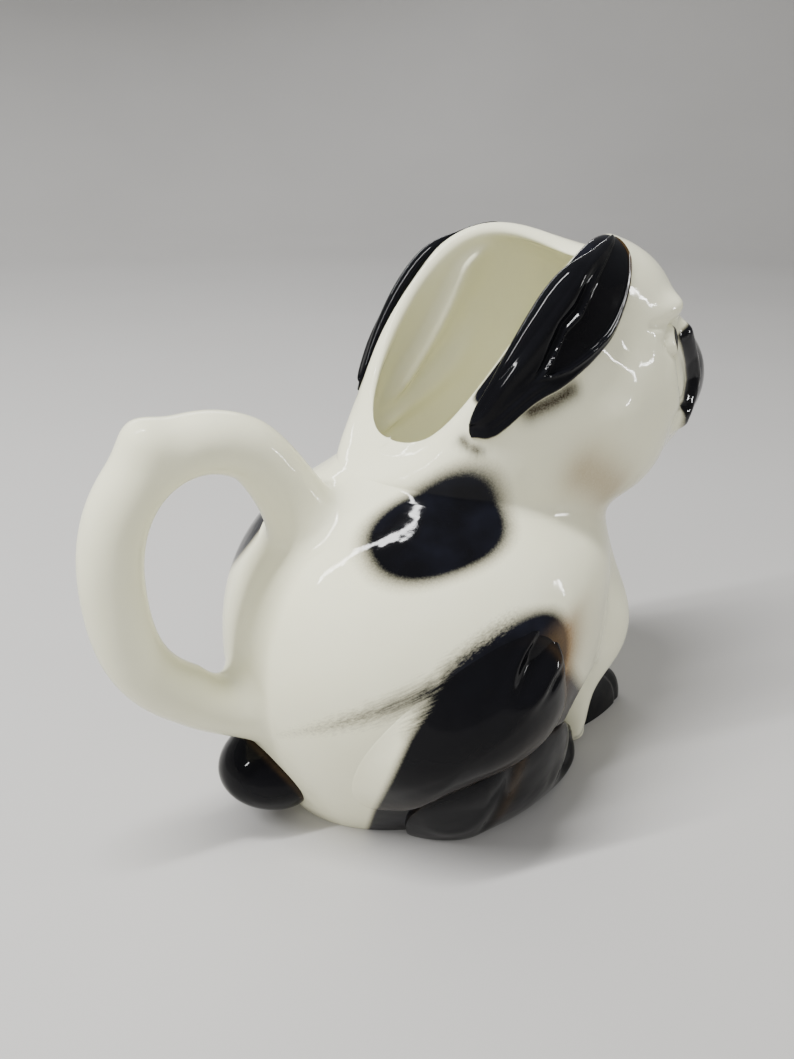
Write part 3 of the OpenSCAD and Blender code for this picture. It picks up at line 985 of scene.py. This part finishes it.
@dataclass
class Foreleg(Swelling):
    """A shoulder that flows into the chest and narrows to a leg down to the paw.

    Widths are shares of the patch, and the rises are heights over the belly at the levels.
    """

    leg_width: float = 0.66
    shoulder_width: float = 1.2
    shoulder_edge: float = 2.0
    levels: tuple[float, ...] = (0.0, 0.1, 0.2, 0.33, 0.5, 0.65, 0.9)
    ahead: float = 0.35
    rises: tuple[float, ...] = (8.0, 7.0, 5.0, 3.2, 5.2, 6.2, 3.0)

    def place(self, forward: Array, upward: Array) -> tuple[Array, Array]:
        """Narrower towards the paw."""
        level = self.patch.middle[1] + self.patch.spread[1] * upward
        taper = self.leg_width + (self.shoulder_width - self.leg_width) * smooth_step(0.12, 0.6, level)
        return self.patch.middle[0] + self.patch.spread[0] * forward * taper, level

    def swell(self, dome: Dome) -> Array:
        """A round ridge that runs out softly in the shoulder and stays full down to the paw."""
        across = dome.forward / np.sqrt(np.maximum(1 - dome.upward ** 2, 1e-6))
        edge = self.soft_edge + (self.shoulder_edge - self.soft_edge) * smooth_step(0.28, 0.5, dome.level)
        round_ = np.maximum(1 - across ** 2, 0) ** edge
        shoulder = np.maximum(1 - np.maximum(dome.upward, 0) ** 2, 0) ** edge
        rise = eased(dome.level, self.levels, self.rises, 0.08, 9)
        return rise * round_ * shoulder * np.maximum(1 - np.maximum(-dome.upward, 0) ** 24, 0)

    def rings(self, dome: Dome) -> Array:
        """Rings of the leg, with the shoulder set forward."""
        rings = super().rings(dome)
        forward = self.ahead * self.swell(dome) * smooth_step(0.3, 0.5, dome.level)
        rings[..., 0] += np.where(dome.top, forward, 0.0)
        return rings

    def make(self, ivory: "Glaze") -> None:
        """Builds and dresses both forelegs."""
        dome = self.dome()
        rings = self.rings(dome)
        marks = MARKS.plain(dome.share.shape)
        # Brown from the outside marks: the sprayed haze by the knee, and painted warm bounce light where the
        # chest's line reaches.
        marks["brown"] = MARKS.outside(rings, dome.angle, dome.level)["brown"]
        self.seat_pair(rings, marks, "shoulder", "foreleg", "white_glaze", ivory)


@dataclass
class Tail(Swelling):
    """The black nub of a tail."""

    def make(self, black: "Glaze") -> None:
        """Builds and dresses the tail."""
        dome = self.dome()
        marks = MARKS.plain(dome.share.shape, COVERED, 0.4)
        marks["brown"] = 0.25 * bell(dome.share - 0.99, 0.012)
        self.seat(self.lay("tail_nub", self.rings(dome), marks), "tail", "black_glaze", black)


@dataclass
class Foot(Casting):
    """A foot along the lower edge of the belly, flat on the table.

    Heel and toe are degrees round the belly, and the tables give the height, reach and roundness along it.
    """

    name: str
    heel: float
    toe: float
    at: tuple[float, ...]
    tops: tuple[float, ...]
    outers: tuple[float, ...]
    rounds: tuple[float, ...]
    fullness: float = 0.3
    toe_fullness: float = 0.16
    hind: bool = False
    along: int = 160
    section: int = 60
    back_rows: int = 24
    seat_gap: float = 0.02

    def toes(self, u: Array, s: Array) -> Array:
        """Depth of the clefts between the toes, and of the hock's crease on a hind foot."""
        if self.hind:
            cleft = 0.3 * (bell(s - 30, 7.0) + bell(s - 58, 7.0))
            cleft = cleft * smooth_step(0.8, 0.9, u) * smooth_step(0.995, 0.96, u)
            crease = 0.9 * bell(u - 0.33 - 0.0012 * (s - 45), 0.028) * smooth_step(2, 18, s)
            hock = np.hypot((u - 0.17) / 0.13, (s - 45) / 38)
            dents = sum(bell(np.hypot((u - at) / 0.03, (s - 35) / 16), 1.0) for at in (0.56, 0.65))
            return cleft + crease + 0.5 * dents + 0.3 * bell(hock, 0.45) - 0.3 * bell(hock - 0.75, 0.14)
        return 0.8 * (bell(u - 0.36, 0.035) + bell(u - 0.66, 0.035)) * smooth_step(74, 40, s)

    def build(self) -> tuple[Array, Marks]:
        """Rings and marks of the right foot."""
        even = np.linspace(0, 1, self.along)
        u_row = 0.5 - 0.499 * np.cos(np.pi * even)
        s_col = np.concatenate([np.linspace(90, 0, self.section), np.full(self.back_rows, -1.0)])
        u, s = np.meshgrid(u_row, s_col, indexing="ij")
        back_up = np.linspace(0, 1, self.back_rows + 2)[1:-1]
        back = np.concatenate([np.zeros(self.section), back_up])[None, :] + 0 * u
        angle = self.heel + (self.toe - self.heel) * u
        size = np.sin(np.pi * u) ** np.where(u < 0.5, self.fullness, self.toe_fullness)
        tables = (self.tops, self.outers, self.rounds)
        top, outer, round_ = (eased(u, self.at, table, 0.04, 7) for table in tables)
        top = top * size / FORM.neck[2]
        sine = np.where(s >= 0, np.sin(np.radians(s)), back)
        spread = np.where(s >= 0, np.cos(np.radians(s)), 0.0)
        turn = np.radians(angle if self.hind else 0 * angle)
        side = np.stack([np.cos(turn), np.sin(turn), 0 * angle], -1)
        reach = (outer * size * spread ** round_)[..., None]
        seat = FORM.on(angle, np.clip(top * sine, 0, 1), self.seat_gap)
        if not self.hind:
            foot_line = FORM.on(angle, 0 * angle, self.seat_gap)
            seat[..., :2] = np.where((s >= 0)[..., None], foot_line[..., :2], seat[..., :2])
        rings = seat + reach * side
        dent = np.where(s >= 0, self.toes(u, s) * size, 0.0)
        outward = side * np.cos(np.radians(np.maximum(s, 0)))[..., None] + np.stack([0 * s, 0 * s, sine], -1)
        rings = rings - dent[..., None] * unit(outward)
        rings[..., 2] = np.maximum(rings[..., 2], 0.0)
        marks = MARKS.plain(u.shape, COVERED, 0.4)
        if self.hind:
            worn = 0.25 * bell(u - 0.37 - 0.0012 * (s - 45), 0.025) * smooth_step(5, 25, s)
            marks["brown"] = worn + 0.1 * bell(s - 84, 8.0)
        return rings, marks

    def make(self, black: "Glaze") -> None:
        """Builds and dresses both feet."""
        self.seat_pair(*self.build(), self.name, self.name, "black_glaze", black)


@dataclass
class Handle(Casting):
    """The loop handle with its thumb rest, drawn out of the belly at both ends."""

    reach: float = 72.98
    middle: float = 64.0
    rise: float = 31.0
    thickness: float = 12.0
    root: float = 24.0
    joints: tuple[float, float] = (0.88, 0.385)
    upper_pull: tuple[float, float, float] = (-6.0, 0.0, 26.0)
    lower_pull: tuple[float, float, float] = (-16.0, 0.0, 8.0)
    rear_pull: float = 20.0
    thumb_rest: float = 2.8
    thumb_share: float = 0.31
    thumb_spread: float = 0.03
    end_swell: float = 0.16
    end_spread: float = 0.12
    fillet_share: float = 0.15
    fillet_power: float = 1.5
    fillet_rise: float = 8.0
    neck_share: float = 0.52
    seat_gap: float = 0.02
    cap_depth: float = 0.4
    cap_shares: tuple[float, ...] = (0.15, 0.6, 0.93)
    steps: int = 220
    cols: int = 96

    def line(self) -> Array:
        """The middle line of the loop from the nape to the rump."""
        rump = np.array([180.0])
        top, low = (FORM.skin(rump, np.array([j]))[0] for j in self.joints)
        rear = np.array([-self.reach, 0.0, self.middle])
        half = np.linspace(0, 1, self.steps // 2 + 1)
        above, below = rear + np.array([0, 0, self.rise]), rear - np.array([0, 0, self.rear_pull])
        upper = FORM.cubic(top, top + np.array(self.upper_pull), above, rear, half)
        lower = FORM.cubic(rear, below, low + np.array(self.lower_pull), low, half)
        return np.concatenate([upper, lower[1:]])

    def root_ring(self, joint: float, away: Array, height: Array, q: Array, way: float) -> Array:
        """Rings on the belly round a joint.

        Args:
            joint: Level of the joint.
            away: Distance from the joint's middle, in millimetres.
            height: Height over the belly, in millimetres.
            q: Way round the ring, in degrees.
            way: 1 for the upper joint and -1 for the lower one.

        Returns:
            Places of the rings.
        """
        around, up = FORM.scale(180.0, joint)
        angle = 180.0 - away * np.sin(np.radians(q)) / around
        return FORM.on(angle, joint + way * away * np.cos(np.radians(q)) / up, height)

    def build(self) -> bpy.types.Object:
        """The loop, with fillets that run out on the belly."""
        line = self.line()
        along = unit(np.gradient(line, axis=0))
        sideways = np.array([0.0, 1.0, 0.0])
        up = np.cross(sideways, along)
        share = np.linspace(0, 1, len(line))[:, None]
        q = (np.arange(self.cols) * 360.0 / self.cols)[None, :]
        c, s = np.cos(np.radians(q)), np.sin(np.radians(q))
        swell = 0.5 * (bell(share, self.end_spread) + bell(1 - share, self.end_spread))
        thick = self.thickness / 2 * (1 + self.end_swell * swell)
        peak = self.thumb_rest * bell(share - self.thumb_share, self.thumb_spread)
        radius = thick + peak * np.maximum(0, c) ** 2
        tube = line[:, None] + radius[..., None] * (c[..., None] * up[:, None] + s[..., None] * sideways)
        for joint, way, ends in ((self.joints[0], 1.0, share), (self.joints[1], -1.0, 1 - share)):
            part = np.clip(ends / self.fillet_share, 0, 1)
            flare = (1 - np.sin(np.pi / 2 * part)) ** self.fillet_power
            away = self.thickness * self.neck_share + (self.root - self.thickness) / 2 * flare
            height = self.seat_gap + self.fillet_rise * (1 - np.cos(np.pi / 2 * part))
            ring = self.root_ring(joint, away + 0 * q, height + 0 * q, q + 0 * away, way)
            blend = smooth_step(0.25, 1.0, part)[..., None]
            tube = ring * (1 - blend) + tube * blend
        away = np.array(self.cap_shares)[:, None] * self.root / 2 + 0 * q
        depth = 0 * away - self.cap_depth
        upper = self.root_ring(self.joints[0], away, depth, q + 0 * away, 1.0)
        lower = self.root_ring(self.joints[1], away[::-1], depth, q + 0 * away, -1.0)
        rings = np.concatenate([upper, tube, lower])
        return self.lay("handle_loop", rings, MARKS.plain(rings.shape[:2]))

    def make(self, ivory: "Glaze") -> None:
        """Builds and dresses the handle."""
        self.seat(self.build(), "handle", "white_glaze", ivory)


class Value:
    """A number socket that takes part in Python sums."""

    def __init__(self, book: "NodeBook", socket: bpy.types.NodeSocket) -> None:
        """Wraps a socket of a book's tree."""
        self.book = book
        self.socket = socket

    def _sum(self, operation: str, *values: Any) -> "Value":
        """A Math node on this and other values."""
        return self.book.node("ShaderNodeMath", {"operation": operation}, dict(enumerate(values)))

    def __add__(self, other: Any) -> "Value":
        """Sum."""
        return self._sum("ADD", self, other)

    __radd__ = __add__

    def __sub__(self, other: Any) -> "Value":
        """Difference."""
        return self._sum("SUBTRACT", self, other)

    def __mul__(self, other: Any) -> "Value":
        """Product."""
        return self._sum("MULTIPLY", self, other)

    __rmul__ = __mul__

    def clamp(self) -> "Value":
        """The value held between 0 and 1."""
        return self.book.node("ShaderNodeClamp", {}, {"Value": self})


class NodeBook:
    """Writes the nodes of one material."""

    def __init__(self, tree: bpy.types.NodeTree) -> None:
        """Starts on an empty tree."""
        self.tree = tree
        tree.nodes.clear()

    def node(self, kind: str, settings: dict[str, Any], inputs: dict[Any, Any],
             output: str | int = 0) -> Value:
        """Adds a node.

        Args:
            kind: The node's type.
            settings: Its settings, set before its sockets.
            inputs: Values or links of its sockets, by name, identifier or number.
            output: The socket that is returned, by name, identifier or number.

        Returns:
            The wrapped output socket.
        """
        made = self.tree.nodes.new(kind)
        for name, setting in settings.items():
            setattr(made, name, setting)
        for key, given in inputs.items():
            socket = self._socket(made.inputs, key)
            if isinstance(given, Value):
                self.tree.links.new(given.socket, socket)
            else:
                socket.default_value = given
        return Value(self, self._socket(made.outputs, output))

    @staticmethod
    def _socket(sockets: Any, key: str | int) -> bpy.types.NodeSocket:
        """A socket by number, identifier or name."""
        if isinstance(key, int):
            return sockets[key]
        for socket in sockets:
            if socket.identifier == key:
                return socket
        return sockets[key]

    def mark(self, name: str) -> Value:
        """A mark of the piece, as a number."""
        return self.node("ShaderNodeAttribute", {"attribute_name": name}, {}, "Fac")

    def vector(self, operation: str, *values: Any) -> Value:
        """A Vector Math node; a dot product comes back as a number."""
        output = "Value" if operation == "DOT_PRODUCT" else "Vector"
        return self.node("ShaderNodeVectorMath", {"operation": operation}, dict(enumerate(values)), output)

    def noise(self, place: Value, scale: float, detail: float = 2.0, rough: float = 0.5) -> Value:
        """Cloudy noise about 0.5."""
        inputs = {"Vector": place, "Scale": scale, "Detail": detail, "Roughness": rough}
        return self.node("ShaderNodeTexNoise", {}, inputs, "Fac")

    def step(self, value: Value, low: Any, high: Any) -> Value:
        """A smooth step from 0 at low to 1 at high."""
        inputs = {"Value": value, "From Min": low, "From Max": high}
        return self.node("ShaderNodeMapRange", {"interpolation_type": "SMOOTHSTEP"}, inputs, "Result")

    def mix(self, share: Any, first: Any, second: Any) -> Value:
        """A colour between two."""
        inputs = {"Factor_Float": share, "A_Color": first, "B_Color": second}
        return self.node("ShaderNodeMix", {"data_type": "RGBA"}, inputs, "Result_Color")

    def finish(self, shader: Value) -> None:
        """Joins the shader to the material's output."""
        output = self.tree.nodes.new("ShaderNodeOutputMaterial")
        self.tree.links.new(shader.socket, output.inputs["Surface"])


@dataclass(frozen=True)
class Glaze:
    """A clear glaze over ivory clay and sprayed underglaze colours, with painted warm bounce light where the
    brown mark asks for it.
    """

    name: str
    ivory: tuple[float, float, float] = (0.85, 0.835, 0.6)
    pale: tuple[float, float, float] = (0.88, 0.87, 0.665)
    black: tuple[float, float, float] = (0.0035, 0.0035, 0.0045)
    thin_black: tuple[float, float, float] = (0.009, 0.010, 0.017)
    brown: tuple[float, float, float] = (0.28, 0.165, 0.065)
    smoke: tuple[float, float, float] = (0.2, 0.17, 0.11)
    grey: tuple[float, float, float] = (0.04, 0.031, 0.02)
    clay: tuple[float, float, float] = (0.72, 0.66, 0.55)
    hair: tuple[float, float, float] = (0.77, -0.44, 0.47)
    hair_scale: tuple[float, float] = (0.13, 2.4)
    strand_scale: float = 1.1
    cloud_scale: float = 0.07
    speckle_scale: float = 2.6
    worn_share: float = 0.45
    haze_share: float = 0.5
    ripple_mm: float = 0.24
    ripple_scale: float = 0.11
    pits: tuple[float, float] = (0.03, 0.9)
    gloss: float = 0.045
    bend: float = 1.25

    @property
    def material(self) -> bpy.types.Material:
        """The material, made once."""
        found = bpy.data.materials.get(self.name)
        return found if found else self.build()

    @staticmethod
    def rgba(colour: tuple[float, float, float]) -> tuple[float, float, float, float]:
        """A colour with full cover."""
        return (*colour, 1.0)

    def build(self) -> bpy.types.Material:
        """Writes the nodes of the glaze.

        Returns:
            The material.
        """
        material = bpy.data.materials.new(self.name)
        material.use_nodes = True
        book = NodeBook(material.node_tree)
        metres = book.node("ShaderNodeTexCoord", {}, {}, "Object")
        place = book.vector("SCALE", metres)
        place.socket.node.inputs["Scale"].default_value = 1 / MM
        fold = book.vector("MULTIPLY", book.vector("ABSOLUTE", place), (0.0, -1.0, 0.0))
        flat = book.vector("MULTIPLY", place, (1.0, 0.0, 1.0))
        right = book.vector("ADD", flat, fold)
        along = np.array(self.hair)
        cross = unit(np.cross(along, (0.0, 0.0, 1.0)))
        lift = np.cross(along, cross)
        lengthways, crossways = self.hair_scale
        combed = book.node("ShaderNodeCombineXYZ", {}, {
            "X": book.vector("DOT_PRODUCT", right, tuple(along * lengthways)),
            "Y": book.vector("DOT_PRODUCT", right, tuple(cross * crossways)),
            "Z": book.vector("DOT_PRODUCT", right, tuple(lift * crossways))}, "Vector")
        clouds = book.noise(place, self.cloud_scale, 3.0)
        speckle = book.noise(place, self.speckle_scale, 4.0, 0.7)
        strands = book.noise(combed, self.strand_scale, 3.0, 0.6)
        spray = book.mark("spray")
        grain = spray * (speckle - 0.5) * 0.8
        hairs = (spray * (strands - 0.5) * 1.9) * book.step(spray, 1.5, 2.2)
        depth = book.mark("paint") + (grain + hairs)
        painted = book.step(depth, spray * -0.9, spray * 0.75)
        body = book.mix(clouds, self.rgba(self.ivory), self.rgba(self.pale))
        haze = self.haze_share * book.step(depth, spray * -1.8, spray * -0.3)
        body = book.mix(haze, body, self.rgba(self.smoke))
        # The brown mark: sprayed brown, and painted warm bounce light under the jaw and down the chest.
        brown = book.mark("brown")
        warm = book.mix((brown * (0.75 + 0.5 * speckle)).clamp(), body, self.rgba(self.brown))
        ink = book.mix(book.step(clouds, 0.35, 0.75), self.rgba(self.black), self.rgba(self.thin_black))
        dark_brown = tuple(self.worn_share * c for c in self.brown)
        worn = book.mix((brown * (0.3 + 0.9 * strands)).clamp(), ink, self.rgba(dark_brown))
        colour = book.mix(painted, warm, worn)
        sooty = (book.mark("grey") * (0.7 + 0.6 * speckle)).clamp()
        colour = book.mix(sooty, colour, self.rgba(self.grey))
        bare = book.mark("clay").clamp()
        colour = book.mix(bare, colour, self.rgba(self.clay))
        pits = self.pits[0] * book.noise(place, self.pits[1], 2.0)
        ripple = book.noise(place, self.ripple_scale, 2.0) + pits
        relief = {"Strength": 1.0, "Distance": self.ripple_mm * MM, "Height": ripple}
        bump = book.node("ShaderNodeBump", {}, relief, "Normal")
        rough = self.gloss + 0.03 * clouds + 0.6 * bare
        shader = book.node("ShaderNodeBsdfPrincipled", {}, {
            "Base Color": colour, "Roughness": rough, "Normal": bump, "IOR": self.bend}, "BSDF")
        book.finish(shader)
        return material


@dataclass
class Studio:
    """A pale floor that sweeps up all round, soft lamps and the camera."""

    floor_radius: float = 1.1
    floor_inset: float = 0.05
    floor_tones: tuple[tuple[float, ...], ...] = ((0.45, 0.44, 0.425, 1.0), (0.49, 0.48, 0.465, 1.0))
    floor_rough: float = 0.55
    sweep: float = 0.7
    sweep_step_deg: float = 10.0
    air: tuple[float, float, float, float] = (0.97, 0.985, 1.0, 1.0)
    air_strength: float = 0.28
    camera_place: tuple[float, float, float] = (-0.1095, -0.15246, 0.1396)
    turn_deg: float = 33.0
    tilt_deg: float = 23.4
    focal_px: float = 900.0
    image_px: tuple[int, int] = (794, 1059)

    def build_floor(self) -> None:
        """A round floor whose edge is drawn out and up in a smooth sweep."""
        bpy.ops.object.select_all(action="DESELECT")
        bpy.ops.mesh.primitive_circle_add(vertices=96, radius=self.floor_radius, fill_type="NOTHING")
        floor = bpy.context.object
        floor.name = "floor"
        bpy.ops.object.mode_set(mode="EDIT")
        bpy.ops.mesh.select_mode(type="EDGE")
        bpy.ops.mesh.select_all(action="SELECT")
        for degrees in np.arange(self.sweep_step_deg, 91, self.sweep_step_deg):
            turn, before = math.radians(degrees), math.radians(degrees - self.sweep_step_deg)
            run = self.sweep * (math.sin(turn) - math.sin(before))
            rise = self.sweep * (math.cos(before) - math.cos(turn))
            radius = self.floor_radius + self.sweep * math.sin(before)
            bpy.ops.mesh.extrude_region_move(TRANSFORM_OT_translate={"value": (0, 0, rise)})
            grow = (radius + run) / radius
            bpy.ops.transform.resize(value=(grow, grow, 1.0), center_override=(0, 0, 0))
        bpy.ops.mesh.select_all(action="DESELECT")
        bpy.ops.object.mode_set(mode="OBJECT")
        for edge in floor.data.edges:
            edge.select = all(floor.data.vertices[v].co.z < MM for v in edge.vertices)
        bpy.ops.object.mode_set(mode="EDIT")
        bpy.ops.mesh.edge_face_add()
        bpy.ops.mesh.inset(thickness=self.floor_inset)
        bpy.ops.object.mode_set(mode="OBJECT")
        bpy.ops.object.shade_smooth()
        material = bpy.data.materials.new("pale_floor")
        material.use_nodes = True
        book = NodeBook(material.node_tree)
        place = book.node("ShaderNodeTexCoord", {}, {}, "Object")
        tone = book.mix(book.noise(place, 6.0, 3.0), *self.floor_tones)
        inputs = {"Base Color": tone, "Roughness": self.floor_rough}
        book.finish(book.node("ShaderNodeBsdfPrincipled", {}, inputs, "BSDF"))
        floor.data.materials.append(material)

    def lamp(self, name: str, place: Sequence[float], size: tuple[float, float], watts: float,
             aim: Sequence[float] = (0, 0, 0.06), turn: float = 0.0, mirrored: bool = True) -> None:
        """Adds a soft rectangular lamp.

        Args:
            name: Name of the lamp.
            place: Its place in metres.
            size: Its width and height in metres.
            watts: Its power.
            aim: The place it faces.
            turn: Degrees that it turns about its own axis.
            mirrored: Whether the glaze shows its reflection.
        """
        data = bpy.data.lights.new(name, "AREA")
        data.shape, data.size, data.size_y, data.energy = "RECTANGLE", size[0], size[1], watts
        lamp = bpy.data.objects.new(name, data)
        bpy.context.scene.collection.objects.link(lamp)
        lamp.location = place
        lamp.rotation_euler = (Vector(aim) - Vector(place)).to_track_quat("-Z", "Y").to_euler()
        lamp.rotation_euler.rotate_axis("Z", math.radians(turn))
        lamp.visible_camera = False
        lamp.visible_glossy = mirrored

    def build_lamps(self) -> None:
        """Long strips overhead and behind, a short side strip and one large soft box."""
        self.lamp("overhead_strip", (-0.6, 0.08, 0.9), (1.25, 0.045), 23.0, (-0.6, 0.08, 0.0), -13.0)
        self.lamp("back_strip", (0.3, 1.4, 0.85), (1.5, 0.05), 7.0)
        self.lamp("side_strip", (0.88, -0.61, 0.25), (0.035, 0.2), 2.4)
        self.lamp("soft_left", (-1.6, -1.4, 1.3), (3.0, 3.0), 46.0, mirrored=False)
        world = bpy.data.worlds.new("studio_air")
        bpy.context.scene.world = world
        world.use_nodes = True
        background = world.node_tree.nodes["Background"]
        background.inputs["Color"].default_value = self.air
        background.inputs["Strength"].default_value = self.air_strength

    def build_camera(self) -> None:
        """Sets the camera at the photograph's place and angle."""
        data = bpy.data.cameras.new("camera")
        camera = bpy.data.objects.new("camera", data)
        bpy.context.scene.collection.objects.link(camera)
        turn, tilt = math.radians(self.turn_deg), math.radians(self.tilt_deg)
        look = Vector((math.sin(turn) * math.cos(tilt), math.cos(turn) * math.cos(tilt), -math.sin(tilt)))
        camera.location = self.camera_place
        camera.rotation_euler = look.to_track_quat("-Z", "Y").to_euler()
        data.sensor_fit = "VERTICAL"
        data.sensor_height = 36.0
        data.lens = self.focal_px * data.sensor_height / self.image_px[1]
        data.clip_start = 0.005
        bpy.context.scene.camera = camera

    def make(self) -> None:
        """Builds the whole studio."""
        self.build_camera()
        self.build_floor()
        self.build_lamps()


def main() -> None:
    """Builds and dresses every casting, then the studio."""
    logging.basicConfig(level=logging.INFO, format="%(name)s: %(message)s")
    ivory = Glaze("sprayed_ivory_body")
    black = Glaze("sprayed_black_limbs", thin_black=(0.005, 0.0052, 0.0066), bend=1.22)
    Shell().make(ivory)
    Ear().make(black)
    Handle().make(ivory)
    Haunch(HAUNCH, rise=5.0, peak=(0.25, 0.0), soft_edge=1.7, crisp_edge=0.55).make(black)
    Foreleg(FORELEG, soft_edge=1.3).make(ivory)
    Tail(TAIL, rise=9.5, peak=(0.0, 0.45), soft_edge=0.7, crisp_edge=0.7).make(black)
    Foot("hind_foot", heel=-124.0, toe=-40.0, at=(0.0, 0.12, 0.23, 0.33, 0.42, 0.62, 0.8, 0.93, 1.0),
         tops=(21.0, 24.0, 26.0, 26.0, 27.0, 26.0, 22.0, 17.0, 15.0),
         outers=(4.0, 6.0, 7.0, 5.6, 5.2, 5.0, 5.8, 6.6, 6.6),
         rounds=(0.6, 0.6, 0.6, 0.8, 1.3, 1.3, 1.0, 0.7, 0.6), hind=True).make(black)
    Foot("forepaw", heel=-36.0, toe=-8.0, at=(0.0, 0.5, 1.0), tops=(15.0, 15.5, 14.5),
         outers=(20.0, 24.0, 22.0), rounds=(0.5, 0.5, 0.5)).make(black)
    Studio().make()


if __name__ == "__main__":
    main()
